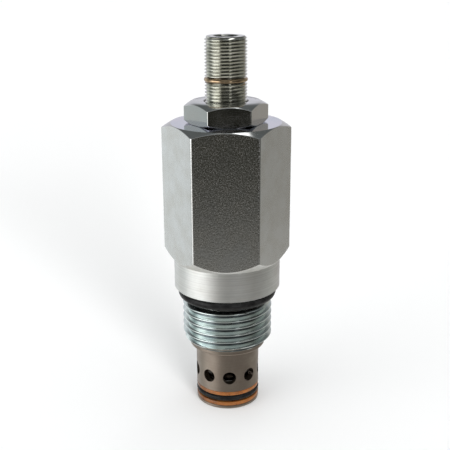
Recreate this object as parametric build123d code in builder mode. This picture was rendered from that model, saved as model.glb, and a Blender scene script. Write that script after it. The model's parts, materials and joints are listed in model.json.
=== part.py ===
"""Screw-in cartridge relief valve, 7/8-14 UNF thread, two-port cavity.

The frame's origin is the centre of the shoulder face that meets the manifold.
+Z points along the valve's axis towards the adjusting screw, so the nose is below zero.
Threads are plain cylinders at their major diameter.
"""

import os

from build123d import *

os.makedirs("parts", exist_ok=True)

# ---------------------------------------------------------------- fits, mm
RUN = 0.05  # radial running clearance of screw, piston head and nut
POPPET_RUN = 0.03  # radial clearance of the main poppet in the cage
SEAT_GAP = 0.02  # gap between faces that rest on each other
SMALL_CHAMFER = 0.3

# ---------------------------------------------------------------- hex body
THREAD_R = 11.05  # 7/8-14 UNF major radius
THREAD_TOP = -3.85
THREAD_BOTTOM = -12.95
BODY_BOTTOM = -14.4
BODY_END_R = 9.6
NECK_R = 9.65  # seal neck under the shoulder
NECK_BOTTOM = -3.4
NECK_EDGE_R = THREAD_R - (NECK_BOTTOM - THREAD_TOP)
COLLAR_R = 13.0
COLLAR_TOP = 7.3
COLLAR_EDGE = 0.15
RELIEF_R = 12.25  # shallow relief in the shoulder face, over the seal
RELIEF_DEPTH = 0.12
HEX_AF = 26.7  # 1-1/16 in hexagon bar, drawn slightly under size
HEX_CORNER_R = 15.32  # radius over the slightly rounded corners
BODY_TOP = 40.57
TOP_RIM_R = 13.16
TOP_CONE_SLOPE = 0.575  # height over radius, a 30 degree cone
SCREW_BORE_R = 5.0
CHAMBER_R = 6.3  # setting spring chamber
CHAMBER_TOP = 33.5
CHAMBER_BOTTOM = 6.0
SHANK_BORE_R = 8.0

# ---------------------------------------------------------------- cage
SHANK_R = 7.97
SHANK_TOP = 3.0
FLANGE_R = 9.35
FLANGE_TOP = BODY_BOTTOM - SEAT_GAP
FLANGE_BOTTOM = -15.55
NOSE_R = 7.875
NOSE_BOTTOM = -31.0
CAGE_BORE_R = 5.8
CAGE_WELL_R = 6.3  # relief around the cross holes
WELL_TOP = -20.2
SEAT_Z = -24.7
PORT_R = 4.9
CROSS_HOLE_R = 1.65
CROSS_HOLE_Z = -22.41
CROSS_HOLES = 9
CROSS_HOLE_PHASE = 4.4  # degrees from -Y towards +X
SEAL_GROOVE_TOP = -26.3
SEAL_GROOVE_BOTTOM = -30.12
SEAL_GROOVE_R = 6.4
SEAL_GROOVE_EDGE = 0.15
DRAIN_WIDTH = 1.6
DRAIN_DEPTH = 0.5

# ---------------------------------------------------------------- poppet
POPPET_R = CAGE_BORE_R - POPPET_RUN
POPPET_TOP = -4.0
GUIDE_BOTTOM = -20.3
WAIST_R = 4.5
HEAD_R = 5.4
HEAD_TOP = -23.4
TIP_R = 3.6
POCKET_R = 4.3
POCKET_FLOOR = -18.6
ORIFICE_THREAD_R = 1.75
ORIFICE_SEAT_Z = -21.6
FILTER_SEAT_Z = -24.4
FILTER_R = 3.2

# ---------------------------------------------------------------- pilot stage
SEAT_FLANGE_R = 7.9
SPIGOT_R = 5.77
SPIGOT_BOTTOM = -1.5
PILOT_HOLE_R = 1.0
PILOT_GROOVE_R = 4.55
PILOT_GROOVE_LOW = -0.6
PILOT_GROOVE_HIGH = 1.2
PILOT_SEAT_TOP = CHAMBER_BOTTOM - SEAT_GAP
PILOT_FLANGE_TOP = 9.6
PILOT_FLANGE_R = 5.2
PILOT_GUIDE_R = 2.7

# ---------------------------------------------------------------- adjuster
SCREW_R = SCREW_BORE_R - RUN
SCREW_TOP = 60.4
SCREW_CHAMFER = 0.62
SOCKET_AF = 5.0
SOCKET_DEPTH = 6.0
PISTON_R = CHAMBER_R - RUN
PISTON_TOP = CHAMBER_TOP - SEAT_GAP
PISTON_BOTTOM = 28.4
PISTON_GROOVE_R = 4.9
PISTON_GROOVE_HIGH = 32.3
PISTON_GROOVE_LOW = 29.6
BACKUP_THICKNESS = 0.8
SCREW_NOSE_R = 2.4
SCREW_NOSE_Z = 27.2
BUTTON_TOP = SCREW_NOSE_Z - SEAT_GAP
BUTTON_R = 5.3
BUTTON_THICKNESS = 2.4
BUTTON_SPIGOT_LENGTH = 2.0
RING_Z = 50.56
RING_WIRE_R = 0.475
RING_GROOVE_R = 4.15
RING_GROOVE_HALF = 0.55
RING_GAP_DEG = 28

# ---------------------------------------------------------------- lock nut
NUT_AF = 17.3  # 11/16 in hexagon, slightly under size
NUT_THICKNESS = 5.0
NUT_BOTTOM = BODY_TOP + SEAT_GAP
NUT_TOP = NUT_BOTTOM + NUT_THICKNESS - SEAT_GAP
NUT_FACE_R = 8.1
NUT_FOOT_R = 9.0
NUT_ANGLE = 6.06
NUT_SEAL_POCKET_R = 6.25
NUT_SEAL_POCKET_DEPTH = 1.3
NUT_SEAL_WIRE_R = 0.55

# ---------------------------------------------------------------- seals
SHOULDER_RING_Z = -1.55
SHOULDER_RING_WIRE_R = 1.23  # size 3-910, 19.18 x 2.46
NOSE_RING_OUTER_R = 7.93
NOSE_RING_HIGH = -27.32
NOSE_RING_LOW = -29.10
BACKUP_EDGE_R = 0.4
PILOT_RING_WIRE_R = 0.58

# ---------------------------------------------------------------- springs
MAIN_SPRING_R = 3.55  # mean coil radius
MAIN_SPRING_WIRE_R = 0.5
MAIN_SPRING_TURNS = 7
PILOT_SPRING_R = 3.85
PILOT_SPRING_WIRE_R = 0.85
PILOT_SPRING_TURNS = 6


def save(piece, name):
    """Labels a finished piece and writes its file."""
    piece.part.label = name
    export_step(piece.part, f"parts/{name}.step")


def turned(*points):
    """Returns a solid of revolution about Z from (radius, height) points."""
    with BuildPart() as piece:
        with BuildSketch(Plane.XZ):
            with BuildLine():
                Polyline(*points, close=True)
            make_face()
        revolve(axis=Axis.Z)
    return piece.part


def ring(wire_r, mean_r, height):
    """Returns a round-section ring lying level at the given height."""
    with BuildPart() as piece:
        with BuildSketch(Plane.XZ):
            with Locations((mean_r, height)):
                Circle(wire_r)
        revolve(axis=Axis.Z)
    return piece.part


def spring(mean_r, wire_r, turns, low, high):
    """Returns a round-wire helical spring that stands between two heights."""
    start = low + wire_r
    rise = high - low - 2 * wire_r
    with BuildPart() as piece:
        with BuildLine():
            Helix(rise / turns, rise, mean_r, center=(0, 0, start))
        with BuildSketch(Plane.XZ):
            with Locations((mean_r, start)):
                Circle(wire_r)
        sweep(is_frenet=True)
    return piece.part


def hexagon_prism(across_flats, low, high, angle=0):
    """Returns a hexagonal prism with two flats facing -Y and +Y at angle 0."""
    with BuildPart() as piece:
        with BuildSketch(Plane.XY.offset(low)):
            RegularPolygon(across_flats / 2, 6, major_radius=False, rotation=angle)
        extrude(amount=high - low)
    return piece.part


# ================================================================ hex body
def make_hex_body():
    corner_rise = HEX_CORNER_R - COLLAR_R
    cone_drop = (HEX_CORNER_R - TOP_RIM_R) * TOP_CONE_SLOPE
    hexagon = hexagon_prism(HEX_AF, COLLAR_TOP, BODY_TOP)
    envelope = turned(
        (0, COLLAR_TOP),
        (COLLAR_R, COLLAR_TOP),
        (HEX_CORNER_R, COLLAR_TOP + corner_rise),
        (HEX_CORNER_R, BODY_TOP - cone_drop),
        (TOP_RIM_R, BODY_TOP),
        (0, BODY_TOP),
    )
    shank = turned(
        (0, BODY_BOTTOM),
        (BODY_END_R, BODY_BOTTOM),
        (THREAD_R, THREAD_BOTTOM),
        (THREAD_R, THREAD_TOP),
        (NECK_EDGE_R, NECK_BOTTOM),
        (NECK_R, NECK_BOTTOM),
        (NECK_R, RELIEF_DEPTH),
        (RELIEF_R, RELIEF_DEPTH),
        (RELIEF_R, 0),
        (COLLAR_R - COLLAR_EDGE, 0),
        (COLLAR_R, COLLAR_EDGE),
        (COLLAR_R, COLLAR_TOP + 0.5),
        (0, COLLAR_TOP + 0.5),
    )
    cavity = turned(
        (0, BODY_BOTTOM - 1),
        (SHANK_BORE_R + SMALL_CHAMFER, BODY_BOTTOM - 1),
        (SHANK_BORE_R + SMALL_CHAMFER, BODY_BOTTOM),
        (SHANK_BORE_R, BODY_BOTTOM + SMALL_CHAMFER),
        (SHANK_BORE_R, CHAMBER_BOTTOM),
        (CHAMBER_R, CHAMBER_BOTTOM),
        (CHAMBER_R, CHAMBER_TOP),
        (SCREW_BORE_R, CHAMBER_TOP),
        (SCREW_BORE_R, BODY_TOP - SMALL_CHAMFER),
        (SCREW_BORE_R + SMALL_CHAMFER, BODY_TOP),
        (SCREW_BORE_R + SMALL_CHAMFER, BODY_TOP + 1),
        (0, BODY_TOP + 1),
    )
    with BuildPart() as body:
        add(hexagon)
        add(envelope, mode=Mode.INTERSECT)
        add(shank)
        add(cavity, mode=Mode.SUBTRACT)
    save(body, "hex_body")


# ================================================================ cage
def make_cage():
    outside = turned(
        (0, NOSE_BOTTOM),
        (NOSE_R - SMALL_CHAMFER, NOSE_BOTTOM),
        (NOSE_R, NOSE_BOTTOM + SMALL_CHAMFER),
        (NOSE_R, SEAL_GROOVE_BOTTOM),
        (SEAL_GROOVE_R, SEAL_GROOVE_BOTTOM),
        (SEAL_GROOVE_R, SEAL_GROOVE_TOP),
        (NOSE_R - SEAL_GROOVE_EDGE, SEAL_GROOVE_TOP),
        (NOSE_R, SEAL_GROOVE_TOP + SEAL_GROOVE_EDGE),
        (NOSE_R, FLANGE_BOTTOM),
        (FLANGE_R, FLANGE_BOTTOM),
        (FLANGE_R, FLANGE_TOP),
        (SHANK_R, FLANGE_TOP),
        (SHANK_R, SHANK_TOP - SMALL_CHAMFER),
        (SHANK_R - SMALL_CHAMFER, SHANK_TOP),
        (0, SHANK_TOP),
    )
    inside = turned(
        (0, NOSE_BOTTOM - 1),
        (PORT_R + SMALL_CHAMFER, NOSE_BOTTOM - 1),
        (PORT_R + SMALL_CHAMFER, NOSE_BOTTOM),
        (PORT_R, NOSE_BOTTOM + SMALL_CHAMFER),
        (PORT_R, SEAT_Z),
        (CAGE_WELL_R, SEAT_Z),
        (CAGE_WELL_R, WELL_TOP - (CAGE_WELL_R - CAGE_BORE_R)),
        (CAGE_BORE_R, WELL_TOP),
        (CAGE_BORE_R, SHANK_TOP - SMALL_CHAMFER),
        (CAGE_BORE_R + SMALL_CHAMFER, SHANK_TOP),
        (CAGE_BORE_R + SMALL_CHAMFER, SHANK_TOP + 1),
        (0, SHANK_TOP + 1),
    )
    with BuildPart() as cage:
        add(outside)
        add(inside, mode=Mode.SUBTRACT)
        # cross holes, bored outwards from the well
        for number in range(CROSS_HOLES):
            angle = CROSS_HOLE_PHASE - 90 + number * 360 / CROSS_HOLES
            direction = Vector(1, 0, 0).rotate(Axis.Z, angle)
            start = direction * (CAGE_WELL_R - 1) + Vector(0, 0, CROSS_HOLE_Z)
            with BuildSketch(Plane(origin=start, z_dir=direction)):
                Circle(CROSS_HOLE_R)
            extrude(amount=NOSE_R, mode=Mode.SUBTRACT)
        # drain slot: down the back of the shank and out under the body
        with BuildSketch(Plane.XY.offset(FLANGE_TOP - DRAIN_DEPTH)):
            with Locations((0, FLANGE_R)):
                Rectangle(DRAIN_WIDTH, 2 * (FLANGE_R - SHANK_R + DRAIN_DEPTH))
        extrude(amount=SHANK_TOP - FLANGE_TOP + DRAIN_DEPTH, mode=Mode.SUBTRACT)
    save(cage, "cage")


# ================================================================ main stage
def make_main_poppet():
    balance_groove = 0.35
    # the 45 degree cone meets the seat edge at the port radius
    touch = SEAT_Z + SEAT_GAP
    bottom = touch - (PORT_R - TIP_R)
    outside = [(0, bottom), (TIP_R, bottom)]
    outside += [(HEAD_R, touch + HEAD_R - PORT_R), (HEAD_R, HEAD_TOP)]
    outside += [(WAIST_R, HEAD_TOP + HEAD_R - WAIST_R)]
    outside += [(WAIST_R, GUIDE_BOTTOM - 1.0), (POPPET_R, GUIDE_BOTTOM)]
    for height in (-17.0, -12.0, -7.0):
        outside += [(POPPET_R, height - balance_groove)]
        outside += [(POPPET_R - balance_groove, height - balance_groove)]
        outside += [(POPPET_R - balance_groove, height + balance_groove)]
        outside += [(POPPET_R, height + balance_groove)]
    outside += [(POPPET_R, POPPET_TOP - SMALL_CHAMFER)]
    outside += [(POPPET_R - SMALL_CHAMFER, POPPET_TOP), (0, POPPET_TOP)]
    inside = turned(
        (0, bottom - 1),
        (FILTER_R, bottom - 1),
        (FILTER_R, FILTER_SEAT_Z),
        (1.2, FILTER_SEAT_Z),
        (1.2, ORIFICE_SEAT_Z),
        (ORIFICE_THREAD_R, ORIFICE_SEAT_Z),
        (ORIFICE_THREAD_R, POCKET_FLOOR),
        (POCKET_R, POCKET_FLOOR),
        (POCKET_R, POPPET_TOP + 1),
        (0, POPPET_TOP + 1),
    )
    with BuildPart() as poppet:
        add(turned(*outside))
        add(inside, mode=Mode.SUBTRACT)
    save(poppet, "main_poppet")


def make_orifice_plug():
    orifice_r = 0.4
    radius = ORIFICE_THREAD_R - SEAT_GAP
    height = 2.6
    with BuildPart() as plug:
        with BuildSketch(Plane.XY.offset(ORIFICE_SEAT_Z + SEAT_GAP)):
            Circle(radius)
            Circle(orifice_r, mode=Mode.SUBTRACT)
        extrude(amount=height)
        with BuildSketch(Plane.XY.offset(ORIFICE_SEAT_Z + SEAT_GAP + height)):
            RegularPolygon(0.75, 6, major_radius=False)
        extrude(amount=-1.4, mode=Mode.SUBTRACT)
    save(plug, "orifice_plug")


def make_filter_screen():
    thickness = 0.4
    pitch = 0.85
    with BuildPart() as screen:
        with BuildSketch(Plane.XY.offset(FILTER_SEAT_Z - SEAT_GAP)):
            Circle(FILTER_R - SEAT_GAP)
            with GridLocations(pitch, pitch, 5, 5):
                Circle(0.25, mode=Mode.SUBTRACT)
        extrude(amount=-thickness)
    save(screen, "filter_screen")


def make_filter_retaining_ring():
    top = FILTER_SEAT_Z - 2 * SEAT_GAP - 0.4
    with BuildPart() as retainer:
        with BuildSketch(Plane.XY.offset(top)):
            Circle(FILTER_R - SEAT_GAP)
            Circle(FILTER_R - 0.8, mode=Mode.SUBTRACT)
            with Locations((0, FILTER_R)):
                Rectangle(1.2, FILTER_R, mode=Mode.SUBTRACT)
        extrude(amount=-0.7)
    save(retainer, "filter_retaining_ring")


def make_main_spring():
    low = POCKET_FLOOR + SEAT_GAP
    high = SPIGOT_BOTTOM - SEAT_GAP
    coil = spring(MAIN_SPRING_R, MAIN_SPRING_WIRE_R, MAIN_SPRING_TURNS, low, high)
    with BuildPart() as piece:
        add(coil)
    save(piece, "main_spring")


# ================================================================ pilot stage
def make_pilot_seat():
    flange_bottom = SHANK_TOP + SEAT_GAP
    profile = turned(
        (PILOT_HOLE_R, PILOT_SEAT_TOP),
        (PILOT_HOLE_R, PILOT_SEAT_TOP - 2.5),
        (2.0, PILOT_SEAT_TOP - 3.5),
        (2.0, SPIGOT_BOTTOM),
        (SPIGOT_R - SMALL_CHAMFER, SPIGOT_BOTTOM),
        (SPIGOT_R, SPIGOT_BOTTOM + SMALL_CHAMFER),
        (SPIGOT_R, PILOT_GROOVE_LOW),
        (PILOT_GROOVE_R, PILOT_GROOVE_LOW),
        (PILOT_GROOVE_R, PILOT_GROOVE_HIGH),
        (SPIGOT_R, PILOT_GROOVE_HIGH),
        (SPIGOT_R, flange_bottom),
        (SEAT_FLANGE_R, flange_bottom),
        (SEAT_FLANGE_R, PILOT_SEAT_TOP),
    )
    with BuildPart() as seat:
        add(profile)
        # notch that lets the spring chamber drain past the flange
        with BuildSketch(Plane.XY.offset(flange_bottom - SEAT_GAP)):
            with Locations((0, SEAT_FLANGE_R)):
                Rectangle(DRAIN_WIDTH, 2 * (SEAT_FLANGE_R - CHAMBER_R + DRAIN_DEPTH))
        extrude(amount=PILOT_SEAT_TOP - flange_bottom + 1, mode=Mode.SUBTRACT)
    save(seat, "pilot_seat")


def make_pilot_poppet():
    # the cone rests on the edge of the pilot hole
    tip_r = 0.4
    shoulder_r = 2.2
    cone_slope = 1.5
    touch = PILOT_SEAT_TOP + SEAT_GAP
    with BuildPart() as poppet:
        add(
            turned(
                (0, touch - (PILOT_HOLE_R - tip_r) * cone_slope),
                (tip_r, touch - (PILOT_HOLE_R - tip_r) * cone_slope),
                (shoulder_r, touch + (shoulder_r - PILOT_HOLE_R) * cone_slope),
                (PILOT_FLANGE_R, PILOT_FLANGE_TOP - 1.5),
                (PILOT_FLANGE_R, PILOT_FLANGE_TOP),
                (PILOT_GUIDE_R, PILOT_FLANGE_TOP),
                (PILOT_GUIDE_R, PILOT_FLANGE_TOP + 2.2),
                (PILOT_GUIDE_R - 0.4, PILOT_FLANGE_TOP + 2.6),
                (0, PILOT_FLANGE_TOP + 2.6),
            )
        )
    save(poppet, "pilot_poppet")


def make_pilot_spring():
    low = PILOT_FLANGE_TOP + SEAT_GAP
    high = BUTTON_TOP - BUTTON_THICKNESS - SEAT_GAP
    coil = spring(PILOT_SPRING_R, PILOT_SPRING_WIRE_R, PILOT_SPRING_TURNS, low, high)
    with BuildPart() as piece:
        add(coil)
    save(piece, "pilot_spring")


def make_spring_button():
    underside = BUTTON_TOP - BUTTON_THICKNESS
    spigot_end = underside - BUTTON_SPIGOT_LENGTH
    with BuildPart() as button:
        add(
            turned(
                (0, spigot_end),
                (PILOT_GUIDE_R - 0.4, spigot_end),
                (PILOT_GUIDE_R, spigot_end + 0.4),
                (PILOT_GUIDE_R, underside),
                (BUTTON_R, underside),
                (BUTTON_R, BUTTON_TOP - SMALL_CHAMFER),
                (BUTTON_R - SMALL_CHAMFER, BUTTON_TOP),
                (0, BUTTON_TOP),
            )
        )
    save(button, "spring_button")


# ================================================================ adjuster
def make_adjusting_screw():
    profile = turned(
        (0, SCREW_NOSE_Z),
        (SCREW_NOSE_R - 0.4, SCREW_NOSE_Z),
        (SCREW_NOSE_R, SCREW_NOSE_Z + 0.4),
        (SCREW_NOSE_R, PISTON_BOTTOM),
        (PISTON_R - SMALL_CHAMFER, PISTON_BOTTOM),
        (PISTON_R, PISTON_BOTTOM + SMALL_CHAMFER),
        (PISTON_R, PISTON_GROOVE_LOW),
        (PISTON_GROOVE_R, PISTON_GROOVE_LOW),
        (PISTON_GROOVE_R, PISTON_GROOVE_HIGH),
        (PISTON_R, PISTON_GROOVE_HIGH),
        (PISTON_R, PISTON_TOP),
        (SCREW_R, PISTON_TOP),
        (SCREW_R, RING_Z - RING_GROOVE_HALF),
        (RING_GROOVE_R, RING_Z - RING_GROOVE_HALF),
        (RING_GROOVE_R, RING_Z + RING_GROOVE_HALF),
        (SCREW_R, RING_Z + RING_GROOVE_HALF),
        (SCREW_R, SCREW_TOP - SCREW_CHAMFER),
        (SCREW_R - SCREW_CHAMFER, SCREW_TOP),
        (0, SCREW_TOP),
    )
    socket = hexagon_prism(SOCKET_AF, SCREW_TOP - SOCKET_DEPTH, SCREW_TOP + 1)
    with BuildPart() as screw:
        add(profile)
        add(socket, mode=Mode.SUBTRACT)
    save(screw, "adjusting_screw")


def make_adjuster_o_ring():
    low = PISTON_GROOVE_LOW
    high = PISTON_GROOVE_HIGH - BACKUP_THICKNESS
    wire_r = (CHAMBER_R - PISTON_GROOVE_R) / 2 - SEAT_GAP
    mean_r = (CHAMBER_R + PISTON_GROOVE_R) / 2
    with BuildPart() as piece:
        add(ring(wire_r, mean_r, (low + high) / 2))
    save(piece, "adjuster_o_ring")


def make_adjuster_backup_ring():
    top = PISTON_GROOVE_HIGH - SEAT_GAP
    with BuildPart() as piece:
        with BuildSketch(Plane.XY.offset(top)):
            Circle(CHAMBER_R - SEAT_GAP)
            Circle(PISTON_GROOVE_R + SEAT_GAP, mode=Mode.SUBTRACT)
        extrude(amount=-(BACKUP_THICKNESS - 2 * SEAT_GAP))
    save(piece, "adjuster_backup_ring")


def make_snap_ring():
    with BuildPart() as piece:
        with BuildSketch(Plane.XZ):
            with Locations((RING_GROOVE_R + SEAT_GAP + RING_WIRE_R, RING_Z)):
                Circle(RING_WIRE_R)
        revolve(axis=Axis.Z, revolution_arc=360 - RING_GAP_DEG)
    # the ring's opening is turned to the back
    opening = 90 + RING_GAP_DEG / 2
    piece.part = piece.part.rotate(Axis.Z, opening)
    save(piece, "snap_ring")


# ================================================================ lock nut
def make_lock_nut():
    cone_drop = (NUT_AF / 3**0.5 - NUT_FACE_R) * TOP_CONE_SLOPE
    foot_rise = (NUT_AF / 3**0.5 - NUT_FOOT_R) * TOP_CONE_SLOPE
    corner_r = NUT_AF / 3**0.5
    hexagon = hexagon_prism(NUT_AF, NUT_BOTTOM, NUT_TOP, NUT_ANGLE)
    envelope = turned(
        (SCREW_BORE_R + SMALL_CHAMFER, NUT_TOP),
        (SCREW_BORE_R, NUT_TOP - SMALL_CHAMFER),
        (SCREW_BORE_R, NUT_BOTTOM + NUT_SEAL_POCKET_DEPTH),
        (NUT_SEAL_POCKET_R, NUT_BOTTOM + NUT_SEAL_POCKET_DEPTH),
        (NUT_SEAL_POCKET_R, NUT_BOTTOM),
        (NUT_FOOT_R, NUT_BOTTOM),
        (corner_r, NUT_BOTTOM + foot_rise),
        (corner_r, NUT_TOP - cone_drop),
        (NUT_FACE_R, NUT_TOP),
    )
    with BuildPart() as nut:
        add(hexagon)
        add(envelope, mode=Mode.INTERSECT)
    save(nut, "lock_nut")


def make_nut_seal_ring():
    mean_r = (SCREW_BORE_R + NUT_SEAL_POCKET_R) / 2
    height = NUT_BOTTOM + SEAT_GAP + NUT_SEAL_WIRE_R
    with BuildPart() as piece:
        add(ring(NUT_SEAL_WIRE_R, mean_r, height))
    save(piece, "nut_seal_ring")


# ================================================================ seals
def make_shoulder_o_ring():
    mean_r = NECK_R + SEAT_GAP + SHOULDER_RING_WIRE_R
    with BuildPart() as piece:
        add(ring(SHOULDER_RING_WIRE_R, mean_r, SHOULDER_RING_Z))
    save(piece, "shoulder_o_ring")


def make_pilot_seat_o_ring():
    mean_r = (PILOT_GROOVE_R + CAGE_BORE_R) / 2
    height = (PILOT_GROOVE_LOW + PILOT_GROOVE_HIGH) / 2
    with BuildPart() as piece:
        add(ring(PILOT_RING_WIRE_R, mean_r, height))
    save(piece, "pilot_seat_o_ring")


def make_nose_o_ring():
    wire_r = (NOSE_RING_OUTER_R - SEAL_GROOVE_R - SEAT_GAP) / 2
    mean_r = NOSE_RING_OUTER_R - wire_r
    with BuildPart() as piece:
        add(ring(wire_r, mean_r, (NOSE_RING_HIGH + NOSE_RING_LOW) / 2))
    save(piece, "nose_o_ring")


def make_nose_backup_ring(name, low, high):
    with BuildPart() as piece:
        with BuildSketch(Plane.XY.offset(low)):
            Circle(NOSE_R)
            Circle(SEAL_GROOVE_R + SEAT_GAP, mode=Mode.SUBTRACT)
        extrude(amount=high - low)
        outer_edges = piece.edges().filter_by(GeomType.CIRCLE).sort_by(SortBy.RADIUS)[-2:]
        fillet(outer_edges, BACKUP_EDGE_R)
    save(piece, name)


make_hex_body()
make_cage()
make_main_poppet()
make_orifice_plug()
make_filter_screen()
make_filter_retaining_ring()
make_main_spring()
make_pilot_seat()
make_pilot_seat_o_ring()
make_pilot_poppet()
make_pilot_spring()
make_spring_button()
make_adjusting_screw()
make_adjuster_o_ring()
make_adjuster_backup_ring()
make_snap_ring()
make_lock_nut()
make_nut_seal_ring()
make_shoulder_o_ring()
make_nose_backup_ring(
    "nose_backup_ring_upper", NOSE_RING_HIGH + SEAT_GAP, SEAL_GROOVE_TOP - SEAT_GAP
)
make_nose_o_ring()
make_nose_backup_ring(
    "nose_backup_ring_lower", SEAL_GROOVE_BOTTOM + SEAT_GAP, NOSE_RING_LOW - SEAT_GAP
)
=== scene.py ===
"""Looks of the screw-in cartridge valve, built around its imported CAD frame.

Sizes in the mesh code are millimetres, in the frame of the CAD model: the shoulder's
face is at height zero and the valve's axis is Z. Skins are turned row by row round the
axis, so threads, cones and hexagons all come from one kind of grid.
"""

import json
import math

import bmesh
import bpy
import numpy as np
from mathutils import Matrix, Vector


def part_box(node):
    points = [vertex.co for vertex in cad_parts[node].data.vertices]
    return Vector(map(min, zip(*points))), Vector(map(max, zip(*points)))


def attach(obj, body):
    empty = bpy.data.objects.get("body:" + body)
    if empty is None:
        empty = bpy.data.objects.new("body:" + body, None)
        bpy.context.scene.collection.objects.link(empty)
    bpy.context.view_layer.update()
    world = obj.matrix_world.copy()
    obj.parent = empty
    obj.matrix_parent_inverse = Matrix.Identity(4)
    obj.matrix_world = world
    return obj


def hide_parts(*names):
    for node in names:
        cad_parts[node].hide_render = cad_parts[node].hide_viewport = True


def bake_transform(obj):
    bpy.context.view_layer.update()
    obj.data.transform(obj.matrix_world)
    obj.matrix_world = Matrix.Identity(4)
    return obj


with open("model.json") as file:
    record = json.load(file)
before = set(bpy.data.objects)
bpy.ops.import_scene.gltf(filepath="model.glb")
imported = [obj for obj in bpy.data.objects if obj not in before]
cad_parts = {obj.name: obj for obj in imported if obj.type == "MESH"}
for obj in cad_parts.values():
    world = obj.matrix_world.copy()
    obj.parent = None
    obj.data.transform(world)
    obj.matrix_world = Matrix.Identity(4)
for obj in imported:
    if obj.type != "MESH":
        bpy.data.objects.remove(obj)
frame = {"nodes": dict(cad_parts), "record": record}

MM = 0.001
TURN = 2 * math.pi
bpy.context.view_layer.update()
MOUNTS = {mount["name"]: mount for mount in frame["record"]["mounts"]}


def span(node):
    """Lowest and highest corner of a CAD node, in millimetres."""
    low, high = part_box(node)
    return low / MM, high / MM


def mount_radius(name):
    return MOUNTS[name]["dims"]["r_mm"]


def mount_span(name):
    """Lowest and highest height of a round mount's wall, in millimetres."""
    middle = MOUNTS[name]["pos_m"][2] / MM
    half = MOUNTS[name]["dims"]["length_mm"] / 2
    return middle - half, middle + half


# ------------------------------------------------------------------ sizes from the frame
BODY_LOW, BODY_HIGH = span("hex_body")
NUT_LOW, NUT_HIGH = span("lock_nut")
SCREW_LOW, SCREW_HIGH = span("adjusting_screw")
CAGE_LOW, CAGE_HIGH = span("cage")
RING_LOW, RING_HIGH = span("snap_ring")
HEX_ACROSS = 2 * BODY_HIGH.y
BODY_TOP = BODY_HIGH.z
BODY_BOTTOM = BODY_LOW.z
THREAD_R = mount_radius("cavity_thread")
THREAD_HIGH = mount_span("cavity_thread")[1]
NOSE_R = mount_radius("nose")
SCREW_R = mount_radius("adjuster_end")
RING_GROOVE_HIGH, SCREW_CHAMFER_LOW = mount_span("adjuster_end")
RING_Z = (RING_LOW.z + RING_HIGH.z) / 2

# ------------------------------------------------------------------ sizes of the real thing
CONE_30 = math.tan(math.radians(30))
CORNER_STRETCH = 1 / math.cos(math.pi / 6)  # a hexagon's corners against its flats
HEX_CORNER = (HEX_ACROSS / 2 * CORNER_STRETCH - BODY_HIGH.x) / (CORNER_STRETCH - 1)

# body
UNF_PITCH = 25.4 / 14
THREAD_DATUM = 0.06  # height of a crest on the +X side
BODY_END_R = 9.6
NECK_R = 9.65
NECK_LOW = -3.4
NECK_FILLET = 0.1
RELIEF_R = 12.25
RELIEF_HEIGHT = 0.12
RELIEF_FILLET = 0.05
COLLAR_R = 13.0
COLLAR_HIGH = 7.3
COLLAR_EDGE = 0.15
BODY_BEVEL = 0.12
TOP_RIM_R = 13.16
TOP_RIM_BEVEL = 0.06
CHAMBER_R = 6.3
CHAMBER_HIGH = 33.5
CHAMBER_LOW = 6.0
SHANK_BORE_R = 8.0
BORE_EDGE = 0.3

# fine thread, shared by screw, body and nut
FINE_PITCH = 0.75
SCREW_BORE_R = 5.0
SCREW_BORE_CREST_R = 4.6

# adjusting screw
TIP_R = 2.4
TIP_EDGE = 0.4
PISTON_R = SCREW_HIGH.x
PISTON_HIGH = 33.48
PISTON_LOW = 28.4
PISTON_CHAMFER = 0.3
PISTON_EDGE = 0.06
PISTON_FILLET = 0.1
PISTON_GROOVE = (29.6, 32.3, 4.9)  # lowest and highest height, radius
THREAD_FOOT = 0.4
RING_GROOVE_R = 4.15
RING_GROOVE_EDGE = 0.12
SOCKET_ACROSS = 5.0
SOCKET_CORNER = 0.02
SOCKET_DEPTH = 6.0
SOCKET_SINK_R = 2.95
SOCKET_SINK_EDGE = 0.12
SOCKET_SINK_DEPTH = 0.5
SOCKET_DRILL_R = 2.3
SOCKET_DRILL_STEP = 0.1
SOCKET_DRILL_DEPTH = 1.2

# lock nut
NUT_TURN = 6.06  # degrees
NUT_ACROSS = 17.25
NUT_CORNER = 0.25
NUT_BEVEL = 0.09
NUT_FACE_R = 8.1
NUT_FACE_FILLET = 0.1
NUT_FOOT_R = 9.0
NUT_FOOT_INSET = 0.25
NUT_FOOT_LIP = 0.1
NUT_FOOT_INNER_R = 8.1
NUT_POCKET_R = 6.25
NUT_POCKET_DEPTH = 1.3

# snap ring
RING_PLAY = 0.02
RING_GAP = 28  # degrees
RING_GAP_AT = 90  # degrees round from +X
RING_END = 0.9  # how far its ends bulge, by wire radius
RING_STEPS = 150
RING_WIRE_SIDES = 24

# cage
FLANGE_HIGH = -14.42
FLANGE_LOW = -15.55
FLANGE_FILLET = 0.12
FLANGE_LOW_EASE = 0.3
FLANGE_HIGH_EASE = 0.14
SPIGOT_R = 7.97
SPIGOT_CHAMFER = 0.3
SEAL_GROOVE_HIGH = -26.3
SEAL_GROOVE_LOW = -30.12
SEAL_GROOVE_R = 6.4
SEAL_GROOVE_EASE = 0.06
SEAL_GROOVE_FILLET = 0.15
SEAL_GROOVE_CHAMFER = 0.08
NOSE_END_EASE = 0.04
CAGE_CHAMFER = 0.3
CAGE_MOUTH_R = 6.1
CAGE_BORE_R = 5.8
CAGE_BORE_LOW = -20.2
GALLERY_R = 6.3
GALLERY_HIGH = -20.7
GALLERY_LOW = -24.7
GALLERY_FILLET = 0.1
PORT_R = 4.9
CROSS_HOLES = 9
CROSS_HOLE_R = 1.65
CROSS_HOLE_Z = -22.41
CROSS_HOLE_PHASE = 4.4  # degrees round from -Y
CROSS_HOLE_REACH = 7.5
CROSS_HOLE_LENGTH = 5
CROSS_HOLE_SIDES = 64

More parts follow.
